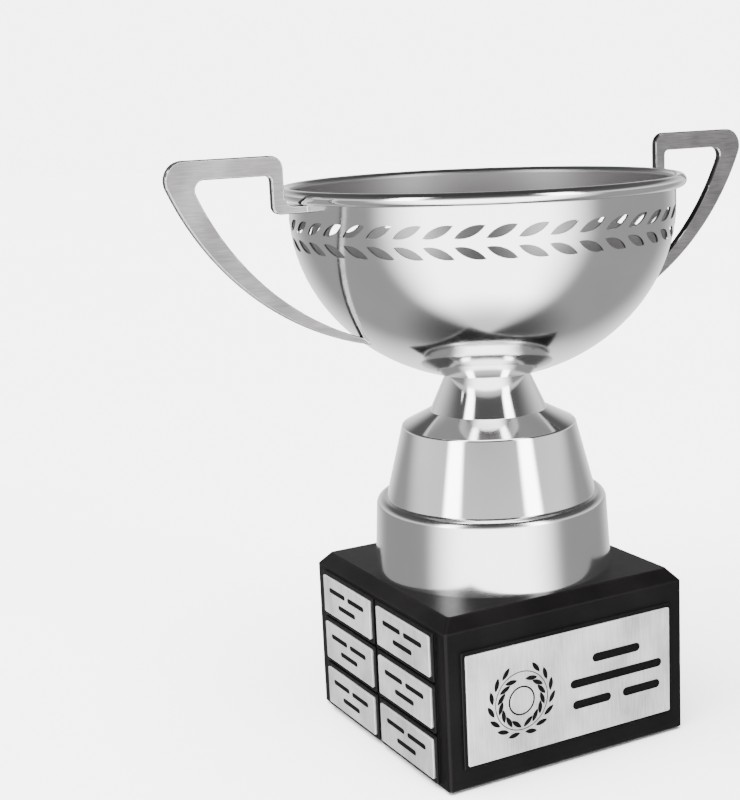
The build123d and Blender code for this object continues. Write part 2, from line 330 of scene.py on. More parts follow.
# %% Lower riser
riser_slope = 8.7 * mm
shoulder_drop = 6.9 * mm
riser_foot = (riser_high.x, riser_low.z)
riser_edge = (riser_foot[0] - riser_slope, riser_high.z - shoulder_drop)
riser_top = (28.4 * mm, riser_high.z)
riser_in_foot = (riser_foot[0] - 1.03 * mm, riser_low.z)
riser_in_edge = (riser_edge[0] - 1.0 * mm, riser_edge[1] - 0.9 * mm)
riser_in_top = (riser_top[0] - 0.3 * mm, riser_high.z - sheet)
riser_profile = [(rod_hole, riser_high.z)]
riser_profile += rounded((rod_hole, riser_high.z), riser_top, riser_edge, 0.6 * mm, 4)
riser_profile += rounded(riser_top, riser_edge, riser_foot, 1.5 * mm, 12)
riser_profile += [riser_foot, riser_in_foot, riser_in_edge, riser_in_top]
riser_profile += [(rod_hole, riser_in_top[1])]
lower_riser = turned_piece("spun_lower_riser", riser_profile)
smooth(lower_riser)
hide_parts("lower_riser")


# %% Neck
def height_under_bowl(radius):
    """The height of the bowl's outside at a radius."""
    return bowl_centre - bowl_depth * sqrt(1 - (radius / bowl_radius) ** 2)


neck_foot = (neck_high.x, neck_low.z)
neck_head = (20.0 * mm, height_under_bowl(20.0 * mm))
neck_in_head = (neck_head[0] - sheet, height_under_bowl(19.0 * mm))
neck_in_foot = (neck_foot[0] - 1.45 * mm, neck_low.z + sheet)
neck_profile = [(rod_hole, neck_low.z), neck_foot, neck_head, neck_in_head, neck_in_foot]
neck_profile += [(rod_hole, neck_low.z + sheet)]
neck = turned_piece("spun_neck", neck_profile)
smooth(neck)
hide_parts("neck_riser")

# %% [markdown]
# ## Handles, nuts and washers
#
# These already have their exact shape in the CAD model, down to the bevel along the handle's
# edge. A CAD mesh is a heap of loose triangles, though, and shades as facets. So each one is
# copied, its triangles are merged into whole faces, and the copy is shaded smooth.


# %% Clean copies of CAD pieces
def clean_copy(node_name, name, angle=30):
    """A merged, smooth-shaded copy that stands for a CAD node."""
    deselect_all()
    source = nodes[node_name]
    copy = source.copy()
    copy.data = source.data.copy()
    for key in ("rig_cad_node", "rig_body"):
        del copy[key]
    copy.name = name
    copy.data.name = name
    copy.parent = None
    copy.matrix_world = Matrix.Identity(4)
    bpy.context.scene.collection.objects.link(copy)
    bpy.context.view_layer.objects.active = copy
    copy.select_set(True)
    bpy.ops.object.mode_set(mode="EDIT")
    bpy.ops.mesh.select_all(action="SELECT")
    bpy.ops.mesh.remove_doubles(threshold=0.002 * mm)
    bpy.ops.mesh.dissolve_limited(angle_limit=radians(0.2))
    bpy.ops.object.mode_set(mode="OBJECT")
    smooth(copy, angle)
    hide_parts(node_name)
    print(name, "has", len(copy.data.polygons), "faces")
    return copy


handle_left = clean_copy("handle_left", "plate_handle_left")
handle_right = clean_copy("handle_right", "plate_handle_right")
cap_nut = clean_copy("bowl_cap_nut", "domed_nut")
bowl_washer = clean_copy("bowl_washer", "washer_in_bowl")
plinth_nut = clean_copy("plinth_nut", "nut_in_plinth")
plinth_washer = clean_copy("plinth_washer", "washer_in_plinth")
tie_rod = clean_copy("tie_rod", "threaded_rod")

# %% [markdown]
# ## The plinth and its felt
#
# The plinth is a solid block with a sloping top edge. It starts as a cube of its real size. The
# top face is extruded and drawn in for the slope, the corners are rounded, and a fine bevel
# breaks every edge, because lacquered wood never has a knife edge.


# %% Block with rounded corners
def block(name, low, high):
    """A cube primitive brought to the size of a box."""
    deselect_all()
    size = high - low
    bpy.ops.mesh.primitive_cube_add(size=1, location=(low + high) / 2, scale=size)
    piece = bpy.context.object
    piece.name = name
    piece.data.name = name
    bpy.ops.object.transform_apply(location=True, scale=True)
    return piece


def select_edges(piece, wanted):
    """Selects the edges whose two ends satisfy a test, and goes into edit mode."""
    bpy.context.view_layer.objects.active = piece
    bpy.ops.object.mode_set(mode="EDIT")
    bpy.ops.mesh.select_mode(type="EDGE")
    bpy.ops.mesh.select_all(action="DESELECT")
    bpy.ops.object.mode_set(mode="OBJECT")
    for edge in piece.data.edges:
        start, end = (piece.data.vertices[index].co for index in edge.vertices)
        edge.select = wanted(start, end)
    bpy.ops.object.mode_set(mode="EDIT")


def bore(piece, profile):
    """Cuts a turned hole; the profile is closed and starts and ends at the axis."""
    tool = draw_outline("bore_tool", profile, closed=False)
    spin_outline(tool, 64)
    add_modifier(piece, "BOOLEAN", operation="DIFFERENCE", solver="EXACT", object=tool)
    bpy.data.objects.remove(tool)


# %% Plinth
slope_out, slope_down = 5.1 * mm, 5.9 * mm
shoulder = Vector((plinth_high.x, plinth_high.y, plinth_high.z - slope_down))
plinth = block("plinth_block", plinth_low, shoulder)
bpy.ops.object.mode_set(mode="EDIT")
bpy.ops.mesh.select_mode(type="FACE")
bpy.ops.mesh.select_all(action="DESELECT")
bpy.ops.object.mode_set(mode="OBJECT")
for face in plinth.data.polygons:
    face.select = face.normal.z > 0.9
bpy.ops.object.mode_set(mode="EDIT")
bpy.ops.mesh.extrude_region_move(TRANSFORM_OT_translate={"value": (0, 0, slope_down)})
draw_in = 1 - slope_out / plinth_high.x
bpy.ops.transform.resize(value=(draw_in, draw_in, 1), center_override=(0, 0, plinth_high.z))
select_edges(plinth, lambda a, b: abs(a.z - b.z) > mm)
bpy.ops.mesh.bevel(offset=1.5 * mm, segments=6, affect="EDGES")
bpy.ops.object.mode_set(mode="OBJECT")
add_modifier(plinth, "BEVEL", width=0.35 * mm, segments=3, limit_method="ANGLE", angle_limit=radians(25))
counterbore = plinth_low.z + 14 * mm
below, above = plinth_low.z - 5 * mm, plinth_high.z + 5 * mm
bore(plinth, [(0, below), (12 * mm, below), (12 * mm, counterbore), (rod_hole, counterbore),
              (rod_hole, above), (0, above)])
smooth(plinth)
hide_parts("plinth")

# %% Felt pad
felt_low, felt_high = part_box("felt_pad")
felt = block("felt_sheet", felt_low, felt_high)
select_edges(felt, lambda a, b: abs(a.z - b.z) > mm)
bpy.ops.mesh.bevel(offset=1.5 * mm, segments=5, affect="EDGES")
bpy.ops.object.mode_set(mode="OBJECT")
add_modifier(felt, "BEVEL", width=0.3 * mm, segments=2, limit_method="ANGLE", angle_limit=radians(40))
bore(felt, [(0, -5 * mm), (12 * mm, -5 * mm), (12 * mm, 5 * mm), (0, 5 * mm)])
smooth(felt)
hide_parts("felt_pad")

# %% [markdown]
# ## Name plates
#
# Each plate is a thin sheet of brushed metal on a slightly larger gloss black backing. Both are
# modelled once, lying in front of the axis and facing the front, and then copied to each place
# that the CAD boxes give, each copy with its own mesh.


# %% One plate, copied to its places
def tile(name, width, depth, height, corner, edge):
    """A flat tile that faces -Y, its back on the XZ plane and its middle on the axis."""
    low = Vector((-width / 2, -depth, -height / 2))
    high = Vector((width / 2, 0, height / 2))
    piece = block(name, low, high)
    long_way = depth * 0.9
    select_edges(piece, lambda a, b: abs(a.y - b.y) > long_way)
    bpy.ops.mesh.bevel(offset=corner, segments=5, affect="EDGES")
    front = -depth + 0.01 * mm
    select_edges(piece, lambda a, b: a.y < front and b.y < front)
    bpy.ops.mesh.bevel(offset=edge, segments=3, affect="EDGES")
    bpy.ops.object.mode_set(mode="OBJECT")
    return piece


def place_copy(pattern, name, node_name):
    """A copy of a pattern tile, put where a CAD tile is and turned to face the same way."""
    low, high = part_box(node_name)
    middle = (low + high) / 2
    size = high - low
    if size.y < size.x:
        turn, back = Matrix.Identity(4), Vector((middle.x, high.y, middle.z))
    elif middle.x < 0:
        turn, back = Matrix.Rotation(-pi / 2, 4, "Z"), Vector((high.x, middle.y, middle.z))
    else:
        turn, back = Matrix.Rotation(pi / 2, 4, "Z"), Vector((low.x, middle.y, middle.z))
    copy = pattern.copy()
    copy.data = pattern.data.copy()
    copy.name = name
    copy.data.name = name
    bpy.context.scene.collection.objects.link(copy)
    copy.data.transform(Matrix.Translation(back) @ turn)
    return copy


main_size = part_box("main_plate")[1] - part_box("main_plate")[0]
main_back_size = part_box("main_plate_backing")[1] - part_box("main_plate_backing")[0]
name_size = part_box("left_name_plate_1")[1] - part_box("left_name_plate_1")[0]
name_back_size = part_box("left_plate_backing_1")[1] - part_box("left_plate_backing_1")[0]
main_tile = tile("main_tile", main_size.x, main_size.y, main_size.z, 0.8 * mm, 0.2 * mm)
main_back = tile("main_back", main_back_size.x, main_back_size.y, main_back_size.z, 0.8 * mm, 0.5 * mm)
name_tile = tile("name_tile", name_size.y, name_size.x, name_size.z, 0.8 * mm, 0.2 * mm)
name_back = tile("name_back", name_back_size.y, name_back_size.x, name_back_size.z, 0.8 * mm, 0.5 * mm)

metal_plates = [place_copy(main_tile, "front_plate", "main_plate")]
black_backings = [place_copy(main_back, "front_backing", "main_plate_backing")]
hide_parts("main_plate")
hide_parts("main_plate_backing")
for side in ("left", "right"):
    for number in range(1, 7):
        plate = place_copy(name_tile, f"{side}_plate_{number}", f"{side}_name_plate_{number}")
        backing = place_copy(name_back, f"{side}_backing_{number}", f"{side}_plate_backing_{number}")
        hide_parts(f"{side}_name_plate_{number}")
        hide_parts(f"{side}_plate_backing_{number}")
        metal_plates.append(plate)
        black_backings.append(backing)
for pattern in (main_tile, main_back, name_tile, name_back):
    bpy.data.objects.remove(pattern)
for piece in metal_plates + black_backings:
    smooth(piece)
print("plates and backings:", len(metal_plates) + len(black_backings))

# %% [markdown]
# ## Engraving, kept generic
#
# A real plate carries names and a badge. Here plain bars stand where lines of lettering would
# be, and a small laurel ring stands where a badge would be. They are very thin inlays, a few
# hundredths of a millimetre proud of the plate, so they are real geometry and not a picture.

# %% Engraved marks
mark_height = 0.04 * mm


def bar(name, width, height, across, up):
    """A bar with rounded ends, drawn flat and facing -Y."""
    half = width / 2 - height / 2
    right = arc((across + half, up), height / 2, -90, 90, 8)
    left = arc((across - half, up), height / 2, 90, 270, 8)
    return draw_outline(name, right + left)


def ring_outline(name, radius, line):
    """A flat ring, as a strip of faces between two circles."""
    piece = draw_outline(name, [(radius, 0), (radius + line, 0)], closed=False)
    bpy.ops.mesh.spin(steps=64, angle=2 * pi, center=(0, 0, 0), axis=(0, 1, 0))
    bpy.ops.mesh.select_all(action="SELECT")
    bpy.ops.mesh.remove_doubles(threshold=0.002 * mm)
    return piece


def raise_mark(piece):
    """Gives a flat mark its thickness, towards the viewer in front of the plate."""
    bpy.ops.mesh.select_all(action="SELECT")
    bpy.ops.mesh.extrude_region_move(TRANSFORM_OT_translate={"value": (0, -mark_height, 0)})
    bpy.ops.mesh.select_all(action="SELECT")
    bpy.ops.mesh.normals_make_consistent(inside=False)
    bpy.ops.object.mode_set(mode="OBJECT")
    return piece


def join(parts, name):
    """Joins marks into one piece."""
    deselect_all()
    for part in parts:
        part.select_set(True)
    bpy.context.view_layer.objects.active = parts[0]
    bpy.ops.object.join()
    parts[0].name = name
    parts[0].data.name = name
    return parts[0]


def filled_bar(width, height, across, up):
    """One raised bar."""
    piece = bar("bar", width, height, across, up)
    bpy.ops.mesh.edge_face_add()
    return raise_mark(piece)


# %% Marks for a name plate
name_marks = join(
    [
        filled_bar(17.5 * mm, 2.5 * mm, -10.2 * mm, 3.3 * mm),
        filled_bar(17.5 * mm, 2.5 * mm, 10.2 * mm, 3.3 * mm),
        filled_bar(18.5 * mm, 2.5 * mm, 0, -3.3 * mm),
    ],
    "name_marks",
)


# %% Marks for the front plate
def laurel_leaf(radius, turn, lean):
    """One leaf of the laurel ring, leaning off the ring's line."""
    piece = draw_outline("laurel_leaf", leaf_outline(6.6 * mm, 1.15 * mm, 6))
    bpy.ops.mesh.edge_face_add()
    raise_mark(piece)
    lie = Matrix.Rotation(radians(90 + lean), 4, "Y")
    out = Matrix.Translation((radius, 0, 0))
    piece.data.transform(Matrix.Rotation(radians(turn), 4, "Y") @ out @ lie)
    return piece


laurel_parts = [raise_mark(ring_outline("laurel_ring", 13.6 * mm, 0.45 * mm))]
laurel_parts.append(raise_mark(ring_outline("inner_ring", 6.2 * mm, 0.8 * mm)))
for side in (-1, 1):
    for step in range(7):
        turn = 90 - side * (16 + 22.5 * step) if side > 0 else 90 + (16 + 22.5 * step)
        laurel_parts.append(laurel_leaf(16.4 * mm, turn, 24 * side))
        laurel_parts.append(laurel_leaf(11.1 * mm, turn, -24 * side))
laurel = join(laurel_parts, "laurel")
laurel.data.transform(Matrix.Translation((-27.5 * mm, 0, -1.0 * mm)))

front_marks = join(
    [
        laurel,
        filled_bar(27.0 * mm, 4.2 * mm, 25.0 * mm, 10.4 * mm),
        filled_bar(52.0 * mm, 4.2 * mm, 25.0 * mm, 0.0),
        filled_bar(21.5 * mm, 4.2 * mm, 10.9 * mm, -10.4 * mm),
        filled_bar(21.5 * mm, 4.2 * mm, 39.1 * mm, -10.4 * mm),
    ],
    "front_marks",
)


# %% Put the marks on the plates
def mark_copy(pattern, name, node_name):
    """A copy of a set of marks on the face of a plate."""
    low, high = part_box(node_name)
    thickness = min(high.x - low.x, high.y - low.y)
    copy = place_copy(pattern, name, node_name)
    middle = (low + high) / 2
    if high.y - low.y < high.x - low.x:
        step = Vector((0, -thickness, 0))
    else:
        step = Vector((-thickness if middle.x < 0 else thickness, 0, 0))
    copy.data.transform(Matrix.Translation(step))
    return copy


marks = [mark_copy(front_marks, "front_plate_marks", "main_plate")]
for side in ("left", "right"):
    for number in range(1, 7):
        marks.append(mark_copy(name_marks, f"{side}_marks_{number}", f"{side}_name_plate_{number}"))
bpy.data.objects.remove(front_marks)
bpy.data.objects.remove(name_marks)
print("sets of marks:", len(marks))

# %% [markdown]
# ## Patterns that several finishes share
#
# A finish is mostly small irregularity: lines left by a tool, a film of polish; an edge mask also
# carries a painted highlight.
# Four of these are needed on more than one material, so each is built once as a node group
# with named inputs and is then placed in the materials with its own values.


# %% Tools for node trees
def new_group(name, inputs, outputs):
    """An empty node group with named sockets: {name: (kind, default)} and a list of outputs."""
    group = bpy.data.node_groups.new(name, "ShaderNodeTree")
    for label, (kind, value) in inputs.items():
        socket = group.interface.new_socket(label, in_out="INPUT", socket_type=kind)
        if value is not None:
            socket.default_value = value
    for label in outputs:
        group.interface.new_socket(label, in_out="OUTPUT", socket_type="NodeSocketFloat")
    start = group.nodes.new("NodeGroupInput")
    end = group.nodes.new("NodeGroupOutput")
    return group, start, end


def add(tree, kind, links=None, **settings):
    """Adds a node, sets its properties or unlinked inputs by name, and links the rest."""
    item = tree.nodes.new(kind)
    for key, value in settings.items():
        setattr(item, key, value)
    for key, value in (links or {}).items():
        socket = item.inputs[key]
        if isinstance(value, bpy.types.NodeSocket):
            tree.links.new(value, socket)
        else:
            socket.default_value = value
    return item


def calculate(tree, operation, *values):
    """One Math node; returns its output."""
    links = dict(enumerate(values))
    return add(tree, "ShaderNodeMath", links, operation=operation).outputs[0]


def vector_math(tree, operation, *values):
    """One Vector Math node."""
    return add(tree, "ShaderNodeVectorMath", dict(enumerate(values)), operation=operation)


# %% Rings left by a spinning tool
def spun_rings():
    """Fine rings round Z, from each point's distance to the axis and its height."""
    inputs = {
        "Vector": ("NodeSocketVector", None),
        "Fineness": ("NodeSocketFloat", 2500.0),
        "Unevenness": ("NodeSocketFloat", 1.5),
    }
    group, start, end = new_group("Spun rings", inputs, ["Rings"])
    flat = vector_math(group, "MULTIPLY", start.outputs["Vector"], (1, 1, 0)).outputs[0]
    radius = vector_math(group, "LENGTH", flat).outputs["Value"]
    heading = vector_math(group, "NORMALIZE", flat).outputs[0]
    height = add(group, "ShaderNodeSeparateXYZ", {0: start.outputs["Vector"]}).outputs["Z"]
    along = calculate(group, "ADD", radius, height)
    fine = calculate(group, "MULTIPLY", along, start.outputs["Fineness"])
    around = vector_math(group, "SCALE", heading)
    group.links.new(start.outputs["Unevenness"], around.inputs["Scale"])
    lift = add(group, "ShaderNodeCombineXYZ", {"Z": fine}).outputs[0]
    place = vector_math(group, "ADD", around.outputs[0], lift).outputs[0]
    noise = add(group, "ShaderNodeTexNoise", {"Vector": place, "Scale": 1.0, "Detail": 3.0})
    group.links.new(noise.outputs[0], end.inputs["Rings"])
    return group


# %% Straight brushing or wood grain
def straight_grain():
    """Noise drawn out along one direction: the stretch is how fast it changes in X, Y and Z."""
    inputs = {
        "Vector": ("NodeSocketVector", None),
        "Stretch": ("NodeSocketVector", (4000.0, 4000.0, 60.0)),
        "Detail": ("NodeSocketFloat", 4.0),
    }
    group, start, end = new_group("Straight grain", inputs, ["Grain"])
    place = vector_math(group, "MULTIPLY", start.outputs["Vector"], start.outputs["Stretch"]).outputs[0]
    noise = add(group, "ShaderNodeTexNoise", {"Vector": place, "Scale": 1.0})
    group.links.new(start.outputs["Detail"], noise.inputs["Detail"])
    group.links.new(noise.outputs[0], end.inputs["Grain"])
    return group


# %% A film of handling
def handling_film():
    """Broad, faint patches where polish, fingers and dust have changed the surface."""
    inputs = {
        "Vector": ("NodeSocketVector", None),
        "Patch size": ("NodeSocketFloat", 0.04),
        "Low": ("NodeSocketFloat", 0.0),
        "High": ("NodeSocketFloat", 1.0),
    }
    group, start, end = new_group("Handling film", inputs, ["Film"])
    rate = calculate(group, "DIVIDE", 1.0, start.outputs["Patch size"])
    noise = add(group, "ShaderNodeTexNoise", {"Vector": start.outputs["Vector"], "Detail": 5.0})
    group.links.new(rate, noise.inputs["Scale"])
    spread = add(group, "ShaderNodeMapRange", {0: noise.outputs[0], 1: 0.3, 2: 0.7})
    group.links.new(start.outputs["Low"], spread.inputs[3])
    group.links.new(start.outputs["High"], spread.inputs[4])
    group.links.new(spread.outputs[0], end.inputs["Film"])
    return group


# %% Edge mask for a painted highlight
def edge_highlight_mask():
    """A mask of outer edges, from the angle between the true and a rounded-off normal; finishes paint a
    highlight along it.
    """
    inputs = {"Width": ("NodeSocketFloat", 0.0006), "Amount": ("NodeSocketFloat", 1.0)}
    group, start, end = new_group("Edge highlight mask", inputs, ["Edge"])
    soft = add(group, "ShaderNodeBevel", samples=4)
    group.links.new(start.outputs["Width"], soft.inputs["Radius"])
    true = add(group, "ShaderNodeNewGeometry").outputs["Normal"]
    match = vector_math(group, "DOT_PRODUCT", soft.outputs[0], true).outputs["Value"]
    gap = calculate(group, "SUBTRACT", 1.0, match)
    spread = add(group, "ShaderNodeMapRange", {0: gap, 1: 0.01, 2: 0.12})
    amount = calculate(group, "MULTIPLY", spread.outputs[0], start.outputs["Amount"])
    group.links.new(amount, end.inputs["Edge"])
    return group


rings_group = spun_rings()
grain_group = straight_grain()
film_group = handling_film()
edge_highlight_group = edge_highlight_mask()
print("node groups:", len(bpy.data.node_groups))

# %% [markdown]
# ## Finishes
#
# Every material starts from a Principled shader. What the groups give is fed into its colour,
# roughness and normal; plain numbers are set on the shader's own sockets.


# %% Start of a material
def new_finish(name, **values):
    """A material with a Principled shader and the object's own coordinates."""
    material = bpy.data.materials.new(name)
    material.use_nodes = True
    tree = material.node_tree
    shader = tree.nodes["Principled BSDF"]
    for key, value in values.items():
        shader.inputs[key.replace("_", " ")].default_value = value
    where = add(tree, "ShaderNodeTexCoord").outputs["Object"]
    return material, tree, shader, where


def place_group(tree, group, links):
    """Places a node group in a material and returns its only output."""
    item = tree.nodes.new("ShaderNodeGroup")
    item.node_tree = group
    for key, value in links.items():
        if isinstance(value, bpy.types.NodeSocket):
            tree.links.new(value, item.inputs[key])
        else:
            item.inputs[key].default_value = value
    return item.outputs[0]


def between(tree, factor, low, high):
    """A number that runs from low to high as the factor runs from 0 to 1."""
    return add(tree, "ShaderNodeMapRange", {0: factor, 3: low, 4: high}).outputs[0]


def blend_colours(tree, factor, first, second):
    """A mix of two colours."""
    links = {0: factor, 6: (*first, 1.0), 7: (*second, 1.0)}
    return add(tree, "ShaderNodeMix", links, data_type="RGBA").outputs[2]


def roughen(tree, shader, height, distance, strength=1.0):
    """Feeds a height into the shader's normal through a Bump node."""
    links = {"Height": height, "Distance": distance, "Strength": strength}
    bump = add(tree, "ShaderNodeBump", links)
    tree.links.new(bump.outputs[0], shader.inputs["Normal"])


# %% Inside or outside of the bowl
def inside_mask(tree, where):
    """1 on the inner face of the bowl's wall and 0 on the outer face, from place alone."""
    place = add(tree, "ShaderNodeSeparateXYZ", {0: where})
    below = calculate(tree, "MINIMUM", calculate(tree, "SUBTRACT", place.outputs["Z"], bowl_centre), 0.0)
    stretched = calculate(tree, "MULTIPLY", below, bowl_radius / bowl_depth)
    links = {"X": place.outputs["X"], "Y": place.outputs["Y"], "Z": stretched}
    rounded_place = add(tree, "ShaderNodeCombineXYZ", links).outputs[0]
    distance = vector_math(tree, "LENGTH", rounded_place).outputs["Value"]
    nearer, further = bowl_radius - 0.7 * sheet, bowl_radius - 0.4 * sheet
    limits = {0: distance, 1: nearer, 2: further, 3: 1.0, 4: 0.0}
    return add(tree, "ShaderNodeMapRange", limits).outputs[0]


# %% Silver plate, polished and satin
def silver(name, roughness, spread, colour, ring_depth, anisotropy, inside_shade_colour=None):
    """Spun silver plate: the rings roughen it a little and catch the light across themselves. An inside
    shade colour, when given, paints shade on the bowl's inner face.
    """
    material, tree, shader, where = new_finish(name, Metallic=1.0, Anisotropic=anisotropy)
    rings = place_group(tree, rings_group, {"Vector": where, "Fineness": 3500.0})
    film = place_group(tree, film_group, {"Vector": where, "Patch size": 0.03})
    mixed = calculate(tree, "MULTIPLY_ADD", rings, 0.8, calculate(tree, "MULTIPLY", film, 0.2))
    polish = between(tree, mixed, roughness - spread, roughness + spread)
    darker = tuple(channel * 0.93 for channel in colour)
    tone = blend_colours(tree, film, colour, darker)
    # The inner face of the bowl gets a far darker colour than the outside: painted shade inside the
    # bowl.
    if inside_shade_colour:
        links = {0: inside_mask(tree, where), 6: tone, 7: (*inside_shade_colour, 1.0)}
        tone = add(tree, "ShaderNodeMix", links, data_type="RGBA").outputs[2]
        inner_dullness = 0.28
        polish = calculate(tree, "MULTIPLY_ADD", links[0], inner_dullness, polish)
    tree.links.new(tone, shader.inputs["Base Color"])
    tree.links.new(polish, shader.inputs["Roughness"])
    tangent = add(tree, "ShaderNodeTangent", direction_type="RADIAL", axis="Z")
    tree.links.new(tangent.outputs[0], shader.inputs["Tangent"])
    roughen(tree, shader, rings, ring_depth)
    return material


bowl_silver = silver(
    "bowl_silver",
    roughness=0.11,
    spread=0.03,
    colour=(0.88, 0.87, 0.875),
    ring_depth=0.000002,
    anisotropy=0.2,
    # The dark inside colour is painted shade inside the bowl.
    inside_shade_colour=(0.30, 0.29, 0.295),
)
riser_silver = silver("riser_silver", 0.07, 0.02, (0.88, 0.87, 0.875), 0.000001, 0.0)
drum_silver = silver("drum_silver", 0.17, 0.04, (0.80, 0.79, 0.795), 0.000003, 0.3)


# %% Brushed flat metal
def brushed(name, colour, roughness, stretch, depth, metallic=1.0, painted_side_shade=1.0):
    """Flat metal brushed in one direction; its edges are smoother and carry a painted highlight, and its
    cut sides can be darkened as painted shade.
    """
    material, tree, shader, where = new_finish(name, Metallic=metallic)
    grain = place_group(tree, grain_group, {"Vector": where, "Stretch": stretch})
    film = place_group(tree, film_group, {"Vector": where, "Patch size": 0.02})
    edge = place_group(tree, edge_highlight_group, {"Width": 0.0005})
    tone = calculate(tree, "MULTIPLY_ADD", grain, 0.65, calculate(tree, "MULTIPLY", film, 0.35))
    contrast = add(tree, "ShaderNodeMapRange", {0: tone, 1: 0.3, 2: 0.7}).outputs[0]
    dark = tuple(channel * 0.62 for channel in colour)
    light = tuple(min(channel * 1.15, 1.0) for channel in colour)
    body = blend_colours(tree, contrast, dark, light)
    # Faces that do not face front or back are darkened in colour: painted shade on the cut sides.
    if painted_side_shade < 1.0:
        normal = add(tree, "ShaderNodeNewGeometry").outputs["Normal"]
        facing = add(tree, "ShaderNodeSeparateXYZ", {0: normal})
        flat_face = calculate(tree, "ABSOLUTE", facing.outputs["Y"])
        shade = between(tree, flat_face, painted_side_shade, 1.0)
        body = vector_math(tree, "SCALE", body)
        tree.links.new(shade, body.inputs["Scale"])
        body = body.outputs[0]
    # Outer edges are mixed towards near white: a painted highlight.
    bright = {0: edge, 6: body, 7: (0.95, 0.95, 0.95, 1.0)}
    edged = add(tree, "ShaderNodeMix", bright, data_type="RGBA").outputs[2]
    tree.links.new(edged, shader.inputs["Base Color"])
    rough = between(tree, tone, roughness - 0.06, roughness + 0.06)
    smoother = calculate(tree, "MULTIPLY_ADD", edge, -0.15, rough)
    tree.links.new(smoother, shader.inputs["Roughness"])
    roughen(tree, shader, grain, depth)
    return material


handle_satin = brushed(
    "handle_satin",
    colour=(0.25, 0.24, 0.24),
    roughness=0.33,
    stretch=(120.0, 2500.0, 2500.0),
    depth=0.000003,
    # The cut sides of the handles are darkened: painted shade.
    painted_side_shade=0.35,
)
plate_metal = brushed(
    "plate_metal",
    colour=(0.50, 0.50, 0.505),
    roughness=0.42,
    stretch=(2600.0, 2600.0, 90.0),
    depth=0.000006,
    metallic=0.6,
)
zinc = brushed("zinc_plated_steel", (0.62, 0.63, 0.65), 0.30, (1500.0, 1500.0, 1500.0), 0.000004)


# %% Black lacquer, gloss black and engraving
def black_finish(name, deep, highlight_and_dust_grey, roughness, specular, stretch, depth, edge_width):
    """A black coat over grain, greyer where it is dusty, with a painted highlight along its outer edges.
    """
    material, tree, shader, where = new_finish(name)
    shader.inputs["Specular IOR Level"].default_value = specular
    grain = place_group(tree, grain_group, {"Vector": where, "Stretch": stretch})
    film = place_group(tree, film_group, {"Vector": where, "Patch size": 0.03})
    edge = place_group(tree, edge_highlight_group, {"Width": edge_width})
    # Outer edges get the lighter grey as a painted highlight; the film adds faint dust patches.
    highlight_and_dust_mask = calculate(tree, "MAXIMUM", edge, calculate(tree, "MULTIPLY", film, 0.08))
    tree.links.new(blend_colours(tree, highlight_and_dust_mask, deep, highlight_and_dust_grey), shader.inputs["Base Color"])
    mixed = calculate(tree, "MULTIPLY_ADD", grain, 0.5, calculate(tree, "MULTIPLY", film, 0.5))
    tree.links.new(between(tree, mixed, roughness - 0.06, roughness + 0.06), shader.inputs["Roughness"])
    roughen(tree, shader, grain, depth)
    return material


lacquer = black_finish(
    "black_lacquer",
    deep=(0.0022, 0.002, 0.002),
    highlight_and_dust_grey=(0.022, 0.02, 0.02),
    roughness=0.36,
    specular=0.07,
    stretch=(260.0, 260.0, 2600.0),
    depth=0.00001,
    edge_width=0.0012,
)
gloss_black = black_finish(
    "gloss_black",
    deep=(0.002, 0.002, 0.002),
    highlight_and_dust_grey=(0.015, 0.015, 0.015),
    roughness=0.22,
    specular=0.08,
    stretch=(900.0, 900.0, 900.0),
    depth=0.000004,
    edge_width=0.0005,
)
engraving = black_finish(
    "engraved_black",
    deep=(0.002, 0.002, 0.002),
    highlight_and_dust_grey=(0.008, 0.008, 0.008),
    roughness=0.5,
    specular=0.04,
    stretch=(3000.0, 3000.0, 3000.0),
    depth=0.000004,
    edge_width=0.0002,
)


# %% Felt and plywood
def felt_finish():
    """Pressed wool: a tangle of short fibres with a soft sheen."""
    material, tree, shader, where = new_finish("dark_felt", Roughness=0.95)
    shader.inputs["Sheen Weight"].default_value = 0.3
    links = {"Vector": where, "Stretch": (2600.0, 2600.0, 2600.0), "Detail": 8.0}
    fibres = place_group(tree, grain_group, links)
    colour = blend_colours(tree, fibres, (0.006, 0.007, 0.006), (0.03, 0.034, 0.03))
    tree.links.new(colour, shader.inputs["Base Color"])
    roughen(tree, shader, fibres, 0.0003)
    return material


def plywood_finish():
    """Plain plywood for the disc that is hidden in the drum."""
    material, tree, shader, where = new_finish("plain_plywood", Roughness=0.7)
    grain = place_group(tree, grain_group, {"Vector": where, "Stretch": (30.0, 700.0, 1500.0)})
    colour = blend_colours(tree, grain, (0.36, 0.23, 0.12), (0.62, 0.46, 0.28))
    tree.links.new(colour, shader.inputs["Base Color"])
    roughen(tree, shader, grain, 0.00005)
    return material


felt_cloth = felt_finish()
plywood = plywood_finish()
print("finishes:", len(bpy.data.materials))

# %% [markdown]
# ## Dressing the pieces
#
# Each new piece gets its finish in a single material slot, and rides on the one body that the
# trophy has.


# %% Give each piece its finish
def dress(piece, material):
    """One finish, one material slot, one body."""
    piece.data.materials.clear()
    piece.data.materials.append(material)
    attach(piece, "root")


dress(bowl, bowl_silver)
dress(neck, riser_silver)
dress(lower_riser, riser_silver)
dress(drum, drum_silver)
dress(cap_nut, riser_silver)
for piece in (handle_left, handle_right):
    dress(piece, handle_satin)
for piece in (bowl_washer, plinth_washer, plinth_nut, tie_rod):
    dress(piece, zinc)
dress(plinth, lacquer)
dress(felt, felt_cloth)
for piece in metal_plates:
    dress(piece, plate_metal)
for piece in black_backings + marks:
    dress(piece, engraving if piece in marks else gloss_black)
nodes["drum_locating_disc"].data.materials.clear()
nodes["drum_locating_disc"].data.materials.append(plywood)

# %% [markdown]
# ## Camera
#
# The camera stands a little above the rim, to the left of the front, and looks down slightly.
# Its place and its three turns are given in the trophy's own frame.

